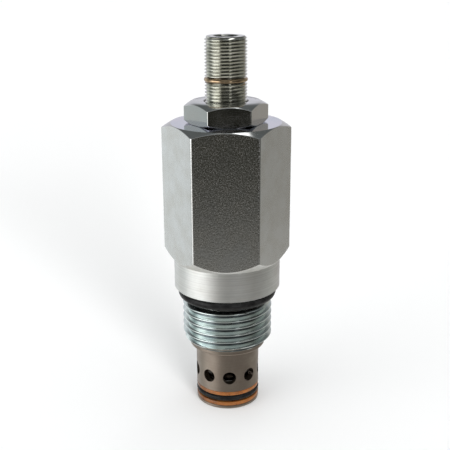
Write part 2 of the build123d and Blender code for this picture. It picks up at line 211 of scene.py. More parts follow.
# seals and springs
BACKUP_INNER_R = 6.42
BACKUP_EDGE = 0.22
BACKUP_INNER_EDGE = 0.08
WELD_GAP = 0.01
ADJUSTER_BACKUP_INNER_R = 4.92
ADJUSTER_BACKUP_OUTER_R = CHAMBER_R - 0.02
CLOSED_TURNS = 1.0
CLOSED_RISE = 1.1  # by wire radius
TURN_STEPS = 48
SPRING_WIRE_SIDES = 16
PILOT_LIFT = 0.42

# mesh columns round the axis
BODY_COLUMNS = 252
SCREW_COLUMNS = 168
NUT_COLUMNS = 192
CAGE_COLUMNS = 216
RING_COLUMNS = 180
SEAL_ROWS = 32
GUARD = 0.03  # how close to a rounding its guard rows lie


# ------------------------------------------------------------------ mesh tools
def column_angles(count, corners=()):
    """Angles of a skin's columns over one full turn, both ends included."""
    even = np.linspace(0, TURN, count + 1)
    return np.unique(np.round(np.concatenate([even, np.mod(corners, TURN)]), 6))


def flat_end_angle(across, corner):
    """Angle from a flat's middle to where the rounded corner begins."""
    apothem = across / 2
    return math.atan((apothem - corner) * CONE_30 / apothem)


def corner_angles(across, corner, turn=0, steps=6):
    """Angles across the rounded corners of a hexagon with flats on -Y and +Y."""
    half = math.pi / 6 - flat_end_angle(across, corner)
    return [
        math.radians(turn) + math.pi / 3 * side + half * share
        for side in range(6)
        for share in np.linspace(-1, 1, steps + 1)
    ]


def hexagon_radius(angles, across, corner, turn=0):
    """Distance from the axis to a hexagon with rounded corners, at each angle."""
    apothem = across / 2
    centre = (apothem - corner) / math.cos(math.pi / 6)
    off_flat = np.mod(angles - math.radians(turn), math.pi / 3) - math.pi / 6
    off_corner = math.pi / 6 - np.abs(off_flat)
    flat = apothem / np.cos(off_flat)
    inside = np.maximum(corner**2 - (centre * np.sin(off_corner)) ** 2, 0)
    arc = centre * np.cos(off_corner) + np.sqrt(inside)
    return np.where(np.abs(off_flat) > flat_end_angle(across, corner), arc, flat)


def rounded(points, steps=4):
    """(radius, height, rounding) corners as a path of (radius, height) points.

    A guard point close to each end of a rounding keeps the shading of the straight flat.
    """
    path = []
    for index, (radius, height, *rounding) in enumerate(points):
        size = rounding[0] if rounding else 0
        here = Vector((radius, height))
        if not size or index in (0, len(points) - 1):
            path.append((radius, height))
            continue
        back = (Vector(points[index - 1][:2]) - here).normalized()
        ahead = (Vector(points[index + 1][:2]) - here).normalized()
        half = back.angle(ahead) / 2
        reach = size / math.tan(half)
        start, end = here + back * reach, here + ahead * reach
        path.append(tuple(start + back * GUARD))
        for share in np.linspace(0, 1, steps + 1):
            near = start.lerp(here, share)
            path.append(tuple(near.lerp(here.lerp(end, share), share)))
        path.append(tuple(end + ahead * GUARD))
    return path


# a thread's form, in shares of its pitch away from the crest's middle
CREST_HALF = 1 / 16
CREST_END = 0.045
FLANK_START = 0.08
FLANK_END = 0.375
THREAD_SHARES = (-0.5, -0.45, -0.41, -FLANK_END, -0.23, -FLANK_START, -0.062, -CREST_END,
                 CREST_END, 0.062, FLANK_START, 0.23, FLANK_END, 0.41, 0.45)


def thread_depth(share, pitch):
    """How far a 60 degree thread lies below its crest, by share of the pitch from it."""
    away = np.abs(np.mod(share + 0.5, 1) - 0.5)
    slope = math.sqrt(3) * pitch
    edge = slope * (away - CREST_END) ** 2 / (2 * (FLANK_START - CREST_END))
    flank = slope * (away - CREST_HALF)
    into_root = away - FLANK_END
    root = slope * (FLANK_END - CREST_HALF + into_root - into_root**2 / (1 - 2 * FLANK_END))
    depth = np.where(away < FLANK_START, edge, flank)
    depth = np.where(away > FLANK_END, root, depth)
    return np.where(away < CREST_END, 0, depth)


def thread_rows(angles, low, high, crest, pitch, limit, inside=False, datum=0.0):
    """Rows of a right-hand thread between two heights, cut back by limit(height).

    Each row follows the helix, so crests and roots stay crisp, and stops at the ends.
    With each row comes whether the strip below it lies in the thread's root.
    """
    first = math.floor((low - datum) / pitch) - 2
    last = math.ceil((high - datum) / pitch) + 1
    rows = []
    for number in range(first, last + 1):
        for share in THREAD_SHARES:
            rise = datum + (number + share) * pitch + pitch * angles / TURN
            height = np.clip(rise, low, high)
            depth = thread_depth((height - datum) / pitch - angles / TURN, pitch)
            radius = crest - depth
            edge = limit(height)
            radius = np.maximum(radius, edge) if inside else np.minimum(radius, edge)
            in_root = share <= -FLANK_END or share > FLANK_END
            if rise.max() > low - pitch and rise.min() < high + pitch:
                rows.append((np.stack([radius, height]), in_root))
    return rows


class Skin:
    """A closed skin round the valve's axis: rows run up the outside and down the inside."""

    def __init__(self, angles):
        self.angles = angles
        self.rows = []
        self.looks = []

    def add(self, look, rows):
        for row in rows:
            self.rows.append(row)
            self.looks.append(look)
        return self

    def thread(self, look, root_shade_look, rows):
        # rows in the thread's root take the second look, a darker copy that paints shade into the root
        for row, in_root in rows:
            self.add(root_shade_look if in_root else look, [row])
        return self

    def level(self, look, *points):
        """Plain turned rows through (radius, height, rounding) points."""
        ones = np.ones_like(self.angles)
        path = rounded(points)
        return self.add(look, [np.stack([r * ones, z * ones]) for r, z in path])

    def shaped(self, look, radius, height):
        """One row whose radius and height may change round the axis."""
        ones = np.ones_like(self.angles)
        return self.add(look, [np.stack([radius * ones, height * ones])])

    def mesh(self, name, looks, closed=True):
        grid = np.array(self.rows)
        radius, height = grid[:, 0], grid[:, 1]
        points = np.stack(
            [radius * np.cos(self.angles), radius * np.sin(self.angles), height], -1
        )
        columns = len(self.angles)
        count = len(self.rows)
        lower = np.arange(count if closed else count - 1)
        upper = (lower + 1) % count
        left = np.arange(columns - 1)
        a = lower[:, None] * columns + left
        b = upper[:, None] * columns + left
        faces = np.stack([a, a + 1, b + 1, b], -1).reshape(-1, 4)
        order = list(looks)
        look = np.array([order.index(self.looks[i]) for i in upper])
        mesh = bpy.data.meshes.new(name)
        mesh.from_pydata((points.reshape(-1, 3) * MM).tolist(), [], faces.tolist())
        mesh.polygons.foreach_set("material_index", np.repeat(look, columns - 1))
        for material in looks.values():
            mesh.materials.append(material)
        weld(mesh)
        return mesh


def weld(mesh, distance=2e-6):
    """Joins points that meet, drops faces that this leaves empty, and turns faces out."""
    work = bmesh.new()
    work.from_mesh(mesh)
    bmesh.ops.remove_doubles(work, verts=work.verts, dist=distance)
    bmesh.ops.dissolve_degenerate(work, edges=work.edges, dist=distance / 4)
    bmesh.ops.recalc_face_normals(work, faces=work.faces)
    work.to_mesh(mesh)
    work.free()


def shade(mesh, sharp=32):
    """Smooth shading that stays crisp over edges sharper than the given degrees."""
    mesh.shade_smooth()
    mesh.set_sharp_from_angle(angle=math.radians(sharp))


def place(name, mesh, body, slot, *nodes, sharp=32):
    """Puts a finished mesh on its body, in place of the CAD nodes it stands for."""
    shade(mesh, sharp)
    piece = bpy.data.objects.new(name, mesh)
    bpy.context.scene.collection.objects.link(piece)
    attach(piece, body)
    if nodes:
        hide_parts(*nodes)
    return piece


SMALLEST_RING = 1e-4
TUBE_WELD = 1e-7


def tube_mesh(name, path, wire, material, sides, low=None, high=None, caps=0.0):
    """A round wire along a path, ground flat at low and high if they are given.

    Caps is how far its ends bulge out, by wire radius. Without it they are cut square.
    """
    path = np.array(path)
    ahead = np.gradient(path, axis=0)
    ahead /= np.linalg.norm(ahead, axis=1)[:, None]
    out = path * (1, 1, 0)
    out /= np.linalg.norm(out, axis=1)[:, None]
    up = np.cross(ahead, out)
    up /= np.linalg.norm(up, axis=1)[:, None]
    out = np.cross(up, ahead)
    round_wire = np.linspace(0, TURN, sides, endpoint=False)
    stations = [(i, 0.0, 1.0) for i in range(len(path))]
    if caps:
        ease = np.linspace(0, 1, 5)[1:]
        head = [(0, -caps * math.sin(t * math.pi / 2), math.cos(t * math.pi / 2)) for t in ease]
        tail = [(len(path) - 1, -a, s) for _, a, s in head]
        stations = [*reversed(head), *stations, *tail]
    points = []
    for index, along, scale in stations:
        centre = path[index] + ahead[index] * along * wire
        scale = max(scale, SMALLEST_RING)
        for angle in round_wire:
            offset = out[index] * math.cos(angle) + up[index] * math.sin(angle)
            points.append(centre + offset * wire * scale)
    points = np.array(points)
    if low is not None:
        points[:, 2] = np.clip(points[:, 2], low, high)
    count = len(stations)
    faces = []
    for ring in range(count - 1):
        for side in range(sides):
            next_side = (side + 1) % sides
            a, b = ring * sides, (ring + 1) * sides
            faces.append((a + side, a + next_side, b + next_side, b + side))
    faces.append(tuple(range(sides - 1, -1, -1)))
    faces.append(tuple((count - 1) * sides + side for side in range(sides)))
    mesh = bpy.data.meshes.new(name)
    mesh.from_pydata((points * MM).tolist(), [], faces)
    mesh.materials.append(material)
    weld(mesh, TUBE_WELD)
    return mesh


# ------------------------------------------------------------------ material tools
# noise values between which a noise does its work
CLOUD_BAND = (0.3, 0.7)
FINE_BAND = (0.36, 0.64)


class Nodes:
    """A node tree in the making, with one line for each node."""

    def __init__(self, tree):
        self.tree = tree

    def add(self, kind, inputs=(), **settings):
        made = self.tree.nodes.new("ShaderNode" + kind)
        for key, value in settings.items():
            setattr(made, key, value)
        for key, value in dict(inputs).items():
            self.put(made.inputs[key], value)
        return made

    def node(self, kind, inputs=(), **settings):
        return self.add(kind, inputs, **settings).outputs[0]

    def put(self, socket, value):
        if isinstance(value, bpy.types.NodeSocket):
            self.tree.links.new(value, socket)
        else:
            socket.default_value = value

    def sum(self, a, b):
        return self.node("Math", {0: a, 1: b}, operation="ADD")

    def times(self, a, b):
        return self.node("Math", {0: a, 1: b}, operation="MULTIPLY")

    def noise(self, vector, scale, detail=3.0, rough=0.55):
        inputs = {"Vector": vector, "Scale": scale, "Detail": detail, "Roughness": rough}
        return self.node("TexNoise", inputs)

    def ramp(self, value, *stops):
        """Maps 0..1 through (position, grey or colour) stops."""
        made = self.add("ValToRGB", {"Fac": value})
        made.color_ramp.elements[0].position = stops[0][0]
        made.color_ramp.elements[1].position = stops[-1][0]
        for position, _ in stops[1:-1]:
            made.color_ramp.elements.new(position)
        for element, (_, colour) in zip(made.color_ramp.elements, stops):
            shown = colour if isinstance(colour, tuple) else (colour,) * 3
            element.color = (*shown, 1)
        return made.outputs["Color"]

    def map(self, value, low, high, to_low=0.0, to_high=1.0, smooth=False):
        kind = "SMOOTHSTEP" if smooth else "LINEAR"
        inputs = {0: value, 1: low, 2: high, 3: to_low, 4: to_high}
        return self.node("MapRange", inputs, interpolation_type=kind)

    def mix(self, share, first, second):
        made = self.add("Mix", data_type="RGBA")
        self.put(made.inputs["Factor"], share)
        self.put(made.inputs[6], first)
        self.put(made.inputs[7], second)
        return made.outputs[2]


class Shader(Nodes):
    """A material in the making."""

    def __init__(self, name):
        self.material = bpy.data.materials.new(name)
        self.material.use_nodes = True
        super().__init__(self.material.node_tree)
        self.principled = self.tree.nodes["Principled BSDF"]

    def set(self, **inputs):
        for key, value in inputs.items():
            self.put(self.principled.inputs[key.replace("_", " ")], value)

    def place(self):
        """The point being shaded, in metres, in the object's own frame."""
        return self.add("TexCoord").outputs["Object"]

    def bump(self, height, distance):
        """A bumpy normal, where height runs from 0 to 1 over the distance in metres."""
        inputs = {"Height": height, "Strength": 1.0, "Distance": distance}
        return self.node("Bump", inputs)

    def varied(self, colour, value, amount):
        """A colour made darker and lighter by a noise value."""
        share = self.map(value, *FINE_BAND, 1 - amount, 1 + amount)
        share = self.node("CombineXYZ", {0: share, 1: share, 2: share})
        return self.node("VectorMath", {0: colour, 1: share}, operation="MULTIPLY")


def turned_lines(shader, scale):
    """Lathe lines: noise of the radius and height alone, so it runs round the axis."""
    split = shader.add("SeparateXYZ", {0: shader.place()})
    x, y, z = split.outputs
    reach = shader.node("Math", {0: y, 1: y, 2: shader.times(x, x)}, operation="MULTIPLY_ADD")
    radius = shader.node("Math", {0: reach}, operation="SQRT")
    profile = shader.node("CombineXYZ", {0: radius, 1: 0.0, 2: z})
    return shader.noise(profile, scale, 4.0, 0.65)


def drawn_lines(shader, scale):
    """Faint lines along the axis, as drawn bar has them."""
    return shader.noise(
        shader.node("Mapping", {"Vector": shader.place(), "Scale": (1, 1, 0.02)}), scale, 3.0
    )


MICROMETRE = 1e-6
FLECK_SCALE = 3300.0
STREAK_SCALE = 2600.0
DRAWN_SCALE = 2600.0


def metal(name, light, dark, roughness, cloud=250.0, lines=(0.0, 4000.0),
          grain=(0.0, 3600.0), drawn=0.0, mottle=0.05, fleck=0.0, streak=0.0):
    """Plated or bare metal: cloudy tone, lathe lines, drawn lines and crystal grain.

    Lines and grain are (depth in micrometres, noise scale per metre). Flecks vary the
    gloss and tone of the crystals, and streaks vary the tone of the lathe lines.
    """
    shader = Shader(name)
    clouds = shader.noise(shader.place(), cloud, 4.0)
    colour = shader.ramp(clouds, (0.32, dark), (0.66, light))
    rough = shader.map(clouds, *CLOUD_BAND, roughness + mottle, roughness - mottle)
    if fleck:
        crystals = shader.noise(shader.place(), FLECK_SCALE, 1.0, 0.5)
        colour = shader.varied(colour, crystals, fleck / 3)
        rough = shader.sum(rough, shader.map(crystals, *FINE_BAND, -fleck, fleck))
    if streak:
        colour = shader.varied(colour, turned_lines(shader, STREAK_SCALE), streak)
    shader.set(Base_Color=colour, Metallic=1.0)
    shader.set(Roughness=rough)
    height = clouds
    if lines[0]:
        height = shader.sum(height, shader.times(turned_lines(shader, lines[1]), lines[0]))
    if grain[0]:
        fine = shader.noise(shader.place(), grain[1], 2.0, 0.6)
        height = shader.sum(height, shader.times(fine, grain[0]))
    if drawn:
        height = shader.sum(height, shader.times(drawn_lines(shader, DRAWN_SCALE), drawn))
    shader.set(Normal=shader.bump(height, MICROMETRE))
    return shader.material


def rubber(name):
    """Black moulded rubber with a thin film of oil."""
    shader = Shader(name)
    clouds = shader.noise(shader.place(), 700.0)
    shader.set(Base_Color=shader.ramp(clouds, (0.3, 0.004), (0.7, 0.011)))
    shader.set(Roughness=shader.map(clouds, *CLOUD_BAND, 0.2, 0.3))
    shader.set(Specular_IOR_Level=0.12)
    shader.set(Normal=shader.bump(shader.noise(shader.place(), 2500.0), 4 * MICROMETRE))
    return shader.material


def plastic(name, colour, dark):
    """Orange-brown backup ring plastic, a little translucent and oily."""
    shader = Shader(name)
    clouds = shader.noise(shader.place(), 500.0)
    shader.set(Base_Color=shader.ramp(clouds, (0.3, dark), (0.7, colour)))
    shader.set(Roughness=shader.map(clouds, *CLOUD_BAND, 0.24, 0.36))
    shader.set(Subsurface_Weight=0.1, Subsurface_Scale=0.0005)
    shader.set(Normal=shader.bump(turned_lines(shader, 6000.0), 8 * MICROMETRE))
    return shader.material


ZINC, ZINC_DARK = (0.66, 0.67, 0.67), (0.6, 0.595, 0.575)
FLAT = metal("zinc_flat", ZINC, ZINC_DARK, 0.18, grain=(15.0, 2800.0), drawn=5.0,
             mottle=0.03, fleck=0.1)
TURNED = metal("zinc_turned", (0.76, 0.77, 0.76), (0.68, 0.68, 0.66), 0.4,
               lines=(34.0, 4200.0), streak=0.07)
CONE = metal("zinc_cone", ZINC, ZINC_DARK, 0.12, lines=(3.0, 4000.0))
FACE = metal("zinc_face", (0.68, 0.66, 0.73), (0.56, 0.62, 0.71), 0.09, 160.0, (2.0, 4000.0))
THREAD = metal("zinc_thread", (0.78, 0.85, 0.83), (0.6, 0.68, 0.69), 0.12, grain=(3.0, 2500.0))
# painted shade: the thread's root strips take this much darker copy of the thread zinc, standing in
# for the shade between the flanks
THREAD_ROOT_SHADE = metal("zinc_thread_root_painted_shade", (0.2, 0.23, 0.24), (0.1, 0.12, 0.13), 0.3,
                    grain=(3.0, 2500.0))
NUT_SIDE = metal("nut_side", (0.62, 0.63, 0.62), ZINC_DARK, 0.14, grain=(4.0, 3000.0))
NUT_FACE = metal("nut_face", ZINC, ZINC_DARK, 0.14, lines=(4.0, 4000.0))
SCREW = metal("screw_zinc", (0.72, 0.72, 0.67), (0.56, 0.56, 0.5), 0.1, grain=(2.0, 3000.0))
# painted shade: a darker copy of the screw zinc for the thread roots and the ring groove
SCREW_ROOT_SHADE = metal("screw_zinc_root_painted_shade", (0.42, 0.42, 0.38), (0.26, 0.26, 0.23), 0.16,
                   grain=(2.0, 3000.0))
SCREW_END = metal("screw_end", (0.66, 0.66, 0.63), (0.5, 0.5, 0.46), 0.16, lines=(4.0, 5000.0))
BORE = metal("bore_steel", (0.3, 0.29, 0.28), (0.2, 0.19, 0.18), 0.35, lines=(8.0, 4000.0))
CAGE = metal("cage_steel", (0.33, 0.28, 0.235), (0.265, 0.22, 0.185), 0.36,
             lines=(16.0, 4500.0), streak=0.04)
# painted shade: ground steel darkened so the pieces seen through the cage's cross holes look dark, as
# if in shade
GROUND_SHADED = metal("ground_steel_painted_shade", (0.2, 0.19, 0.18), (0.12, 0.11, 0.1), 0.22, lines=(4.0, 6000.0))
SPRING = metal("spring_steel", (0.24, 0.23, 0.23), (0.14, 0.14, 0.15), 0.26,
               grain=(3.0, 3000.0))
BRONZE = metal("ring_bronze", (0.5, 0.38, 0.25), (0.34, 0.24, 0.15), 0.14, grain=(2.0, 3000.0))
BRASS = metal("filter_brass", (0.72, 0.56, 0.32), (0.55, 0.4, 0.2), 0.3, grain=(3.0, 3000.0))
RUBBER = rubber("seal_rubber")
BACKUP = plastic("backup_plastic", (0.2, 0.073, 0.017), (0.11, 0.038, 0.01))


# ------------------------------------------------------------------ hex body
def hex_body():
    corners = corner_angles(HEX_ACROSS, HEX_CORNER)
    angles = column_angles(BODY_COLUMNS, corners)
    side = hexagon_radius(angles, HEX_ACROSS, HEX_CORNER)
    skin = Skin(angles)
    bevel = BODY_BEVEL
    guarded = bevel + GUARD

    def thread_limit(height):
        lead_in = BODY_END_R + (height - BODY_BOTTOM)
        lead_out = THREAD_R - (height - THREAD_HIGH)
        return np.minimum(lead_in, lead_out)

    skin.level("turned", (SHANK_BORE_R + BORE_EDGE, BODY_BOTTOM), (BODY_END_R, BODY_BOTTOM))
    skin.thread("thread", "root", thread_rows(
        angles, BODY_BOTTOM, NECK_LOW, THREAD_R, UNF_PITCH, thread_limit, datum=THREAD_DATUM
    ))
    skin.level(
        "turned",
        (NECK_R, NECK_LOW),
        (NECK_R, RELIEF_HEIGHT, NECK_FILLET),
        (RELIEF_R, RELIEF_HEIGHT, RELIEF_FILLET),
        (RELIEF_R, 0.0),
        (COLLAR_R - COLLAR_EDGE, 0.0),
        (COLLAR_R, COLLAR_EDGE),
        (COLLAR_R, COLLAR_HIGH),
    )
    # lower 45 degree cone, up to where it meets the flats and corners
    low_edge = COLLAR_HIGH + side - COLLAR_R
    skin.shaped("turned", side - guarded, low_edge - guarded)
    skin.shaped("turned", side - bevel, low_edge - bevel)
    skin.shaped("turned", side - bevel * 0.25, low_edge + bevel * 0.3)
    skin.shaped("flat", side, low_edge + bevel)
    skin.shaped("flat", side, low_edge + guarded)
    for share in (0.25, 0.5, 0.75):
        skin.shaped("flat", side, low_edge + (BODY_TOP - low_edge) * share)
    # top 30 degree cone and the turned end face
    high_edge = BODY_TOP - (side - TOP_RIM_R) * CONE_30
    skin.shaped("flat", side, high_edge - guarded)
    coned_edge(skin, "flat", "cone", side, high_edge, bevel)
    rim = TOP_RIM_BEVEL
    skin.level(
        "cone",
        (TOP_RIM_R + rim + GUARD, BODY_TOP - (rim + GUARD) * CONE_30),
        (TOP_RIM_R + rim, BODY_TOP - rim * CONE_30),
        (TOP_RIM_R - rim, BODY_TOP),
        (TOP_RIM_R - rim - GUARD, BODY_TOP),
    )
    skin.level("face", (SCREW_BORE_R + BORE_EDGE, BODY_TOP))

    skin.thread("bore", "bore", bore_rows(angles, CHAMBER_HIGH, BODY_TOP))
    skin.level(
        "bore",
        (CHAMBER_R, CHAMBER_HIGH),
        (CHAMBER_R, CHAMBER_LOW),
        (SHANK_BORE_R, CHAMBER_LOW),
        (SHANK_BORE_R, BODY_BOTTOM + BORE_EDGE),
        (SHANK_BORE_R + BORE_EDGE, BODY_BOTTOM),
    )
    # the root look paints shade into the roots of the cartridge thread
    looks = {"turned": TURNED, "thread": THREAD, "root": THREAD_ROOT_SHADE, "flat": FLAT,
             "cone": CONE, "face": FACE, "bore": BORE}
    place("body_shell", skin.mesh("body_shell", looks), "valve_body", "body_zinc", "hex_body")


def coned_edge(skin, side_look, cone_look, side, edge, bevel):
    """Rows of the eased edge where a hexagon's flats meet the 30 degree cone above."""
    skin.shaped(side_look, side, edge - bevel)
    skin.shaped(cone_look, side - bevel * 0.2, edge - bevel * 0.25)
    skin.shaped(cone_look, side - bevel, edge + bevel * CONE_30)
    skin.shaped(cone_look, side - bevel - GUARD, edge + (bevel + GUARD) * CONE_30)


def bore_rows(angles, low, high):
    """Rows of a fine internal thread with a chamfered mouth, from the top down."""
    def limit(height):
        mouth = SCREW_BORE_R + BORE_EDGE - (high - height)
        return np.maximum(mouth, SCREW_BORE_CREST_R)

    rows = thread_rows(angles, low, high, SCREW_BORE_R, FINE_PITCH, limit, inside=True)
    return rows[::-1]


# ------------------------------------------------------------------ adjuster
def adjusting_screw():
    corners = [math.pi / 3 * side for side in range(6)]
    angles = column_angles(SCREW_COLUMNS, corners)
    socket = hexagon_radius(angles, SOCKET_ACROSS, SOCKET_CORNER)
    skin = Skin(angles)
    low, high, groove_r = PISTON_GROOVE
    foot_r = SCREW_R - THREAD_FOOT
    skin.level(
        "ground",
        (0, SCREW_LOW.z),
        (TIP_R - TIP_EDGE, SCREW_LOW.z),
        (TIP_R, SCREW_LOW.z + TIP_EDGE),
        (TIP_R, PISTON_LOW, PISTON_FILLET),
        (PISTON_R - PISTON_CHAMFER, PISTON_LOW),
        (PISTON_R, PISTON_LOW + PISTON_CHAMFER),
        (PISTON_R, low, PISTON_EDGE),
        (groove_r, low, PISTON_FILLET),
        (groove_r, high, PISTON_FILLET),
        (PISTON_R, high, PISTON_EDGE),
        (PISTON_R, PISTON_HIGH, PISTON_EDGE),
        (foot_r, PISTON_HIGH),
    )
    groove_low = 2 * RING_Z - RING_GROOVE_HIGH
    groove_edge_r = SCREW_R - RING_GROOVE_EDGE

    def below_ring(height):
        return np.minimum(foot_r + (height - PISTON_HIGH), groove_edge_r + (groove_low - height))

    def above_ring(height):
        foot = groove_edge_r + (height - RING_GROOVE_HIGH)
        tip = SCREW_R - (height - SCREW_CHAMFER_LOW)
        return np.minimum(foot, tip)

    skin.thread("thread", "root", thread_rows(
        angles, PISTON_HIGH, groove_low, SCREW_R, FINE_PITCH, below_ring
    ))
    skin.level("groove", (RING_GROOVE_R, groove_low), (RING_GROOVE_R, RING_GROOVE_HIGH))
    skin.thread("thread", "root", thread_rows(
        angles, RING_GROOVE_HIGH, SCREW_HIGH.z, SCREW_R, FINE_PITCH, above_ring
    ))
    # hex socket with a conical sink and a drilled floor
    top = SCREW_HIGH.z
    floor_z = top - SOCKET_DEPTH
    sunk = np.minimum(socket, SOCKET_SINK_R)
    skin.level("end", (SOCKET_SINK_R + SOCKET_SINK_EDGE, top))
    skin.shaped("end", sunk, top - (SOCKET_SINK_R - sunk))
    skin.shaped("end", socket, top - SOCKET_SINK_DEPTH)
    skin.shaped("end", socket, floor_z)
    skin.level("end", (SOCKET_DRILL_R, floor_z - SOCKET_DRILL_STEP), (0, floor_z - SOCKET_DRILL_DEPTH))
    # root and groove take the darker screw zinc: painted shade in the thread roots and the ring groove
    looks = {"ground": GROUND_SHADED, "thread": SCREW, "root": SCREW_ROOT_SHADE, "groove": SCREW_ROOT_SHADE,
             "end": SCREW_END}
    place("setting_screw", skin.mesh("setting_screw", looks, closed=False),
          "adjuster", "screw_steel", "adjusting_screw")


def lock_nut():
    corners = corner_angles(NUT_ACROSS, NUT_CORNER, NUT_TURN)
    angles = column_angles(NUT_COLUMNS, corners)
    side = hexagon_radius(angles, NUT_ACROSS, NUT_CORNER, NUT_TURN)
    skin = Skin(angles)
    bevel = NUT_BEVEL
    foot, top = NUT_LOW.z, NUT_HIGH.z
    pocket_top = foot + NUT_POCKET_DEPTH
    inset_r = NUT_FOOT_R - NUT_FOOT_INSET
    skin.level(
        "face", (NUT_POCKET_R, pocket_top), (NUT_POCKET_R, foot), (NUT_FOOT_INNER_R, foot)
    )
    # underside, eased up to the flats and further up at the corners
    low_edge = foot + np.maximum(side - inset_r, 0) * CONE_30
    skin.shaped("face", np.minimum(inset_r, side - NUT_FOOT_LIP), foot)
    skin.shaped("face", side - bevel, np.maximum(low_edge - bevel * CONE_30, foot))
    skin.shaped("side", side, low_edge + bevel)
    skin.shaped("side", side, low_edge + bevel + GUARD)
    high_edge = top - (side - NUT_FACE_R) * CONE_30
    skin.shaped("side", side, high_edge - bevel - GUARD)
    coned_edge(skin, "side", "face", side, high_edge, bevel)
    skin.level("face", (NUT_FACE_R, top, NUT_FACE_FILLET), (SCREW_BORE_R + BORE_EDGE, top))
    skin.thread("bore", "bore", bore_rows(angles, pocket_top, top))
    looks = {"face": NUT_FACE, "side": NUT_SIDE, "bore": BORE}
    place("jam_nut", skin.mesh("jam_nut", looks), "nut", "nut_steel", "lock_nut")


def snap_ring():
    wire = (RING_HIGH.z - RING_LOW.z) / 2
    mean = RING_GROOVE_R + RING_PLAY + wire
    half_gap = RING_GAP / 2 + math.degrees(wire / mean)
    start = math.radians(RING_GAP_AT + half_gap)
    end = math.radians(RING_GAP_AT + 360 - half_gap)
    turn = np.linspace(start, end, RING_STEPS)
    path = np.stack([mean * np.cos(turn), mean * np.sin(turn), RING_Z + 0 * turn], -1)
    mesh = tube_mesh("wire_ring", path, wire, BRONZE, RING_WIRE_SIDES, caps=RING_END)
    place("wire_ring", mesh, "adjuster", "ring_bronze", "snap_ring", sharp=50)


# ------------------------------------------------------------------ cage and seals
def cage():
    skin = Skin(column_angles(CAGE_COLUMNS))
    foot, top = CAGE_LOW.z, CAGE_HIGH.z
    skin.level(
        "cage",
        (PORT_R + CAGE_CHAMFER, foot),
        (NOSE_R - CAGE_CHAMFER, foot, NOSE_END_EASE),
        (NOSE_R, foot + CAGE_CHAMFER, NOSE_END_EASE),
        (NOSE_R, SEAL_GROOVE_LOW, SEAL_GROOVE_EASE),
        (SEAL_GROOVE_R, SEAL_GROOVE_LOW, SEAL_GROOVE_FILLET),
        (SEAL_GROOVE_R, SEAL_GROOVE_HIGH, SEAL_GROOVE_FILLET),
        (NOSE_R - SEAL_GROOVE_CHAMFER, SEAL_GROOVE_HIGH),
        (NOSE_R, SEAL_GROOVE_HIGH + SEAL_GROOVE_CHAMFER),
        (NOSE_R, FLANGE_LOW, FLANGE_FILLET),
        (CAGE_HIGH.x, FLANGE_LOW, FLANGE_LOW_EASE),
        (CAGE_HIGH.x, FLANGE_HIGH, FLANGE_HIGH_EASE),
        (SPIGOT_R, FLANGE_HIGH),
        (SPIGOT_R, top - SPIGOT_CHAMFER),
        (SPIGOT_R - SPIGOT_CHAMFER, top),
        (CAGE_MOUTH_R, top),
        (CAGE_BORE_R, top - (CAGE_MOUTH_R - CAGE_BORE_R)),
        (CAGE_BORE_R, CAGE_BORE_LOW),
        (GALLERY_R, GALLERY_HIGH),
        (GALLERY_R, GALLERY_LOW, GALLERY_FILLET),
        (PORT_R, GALLERY_LOW),
        (PORT_R, foot + CAGE_CHAMFER),
    )
    mesh = skin.mesh("nose_cage", {"cage": CAGE})
    cutter = bmesh.new()
    move = Matrix.Translation((0, 0, CROSS_HOLE_Z * MM))
    lay = Matrix.Rotation(math.pi / 2, 4, "Y") @ Matrix.Translation((0, 0, CROSS_HOLE_REACH * MM))
    for number in range(CROSS_HOLES):
        angle = math.radians(CROSS_HOLE_PHASE - 90 + number * 360 / CROSS_HOLES)
        bmesh.ops.create_cone(
            cutter, cap_ends=True, segments=CROSS_HOLE_SIDES, radius1=CROSS_HOLE_R * MM,
            radius2=CROSS_HOLE_R * MM, depth=CROSS_HOLE_LENGTH * MM,
            matrix=move @ Matrix.Rotation(angle, 4, "Z") @ lay,
        )
    cut(mesh, cutter)
    place("nose_cage", mesh, "valve_body", "cage_steel", "cage", sharp=35)


def cut(mesh, cutter):
    """Takes the cutter's shape out of a mesh."""
    tool_mesh = bpy.data.meshes.new("cutter")
    cutter.to_mesh(tool_mesh)
    cutter.free()
    scene = bpy.context.scene
    tool = bpy.data.objects.new("cutter", tool_mesh)
    target = bpy.data.objects.new("target", mesh)
    scene.collection.objects.link(tool)
    scene.collection.objects.link(target)
    modifier = target.modifiers.new("cut", "BOOLEAN")
    modifier.operation = "DIFFERENCE"
    modifier.solver = "EXACT"
    modifier.object = tool
    depsgraph = bpy.context.evaluated_depsgraph_get()
    result = bpy.data.meshes.new_from_object(target.evaluated_get(depsgraph))
    work = bmesh.new()
    work.from_mesh(result)
    work.to_mesh(mesh)
    work.free()
    for spare in (tool, target):
        bpy.data.objects.remove(spare)
    bpy.data.meshes.remove(tool_mesh)
    bpy.data.meshes.remove(result)


def torus(name, node, body):
    """A moulded O-ring in a CAD node's place."""
    low, high = span(node)
    wire = (high.z - low.z) / 2
    mean = high.x - wire
    middle = (high.z + low.z) / 2
    skin = Skin(column_angles(RING_COLUMNS))
    for turn in np.linspace(-math.pi, math.pi, SEAL_ROWS + 1)[:-1]:
        skin.shaped("ring", mean + wire * math.cos(turn), middle + wire * math.sin(turn))
    mesh = skin.mesh(name, {"ring": RUBBER})
    place(name, mesh, body, "seal_rubber", node, sharp=60)


def backup_ring(name, node, body, outer, inner):
    """A flat plastic backup ring with softened edges."""
    low, high = span(node)
    middle = (low.z + high.z) / 2
    skin = Skin(column_angles(RING_COLUMNS))
    skin.level(
        "ring",
        (inner, middle),
        (inner, low.z, BACKUP_INNER_EDGE),
        (outer, low.z, BACKUP_EDGE),
        (outer, high.z, BACKUP_EDGE),
        (inner, high.z, BACKUP_INNER_EDGE),
        (inner, middle + WELD_GAP),
    )
    mesh = skin.mesh(name, {"ring": BACKUP})
    place(name, mesh, body, "backup_plastic", node, sharp=50)


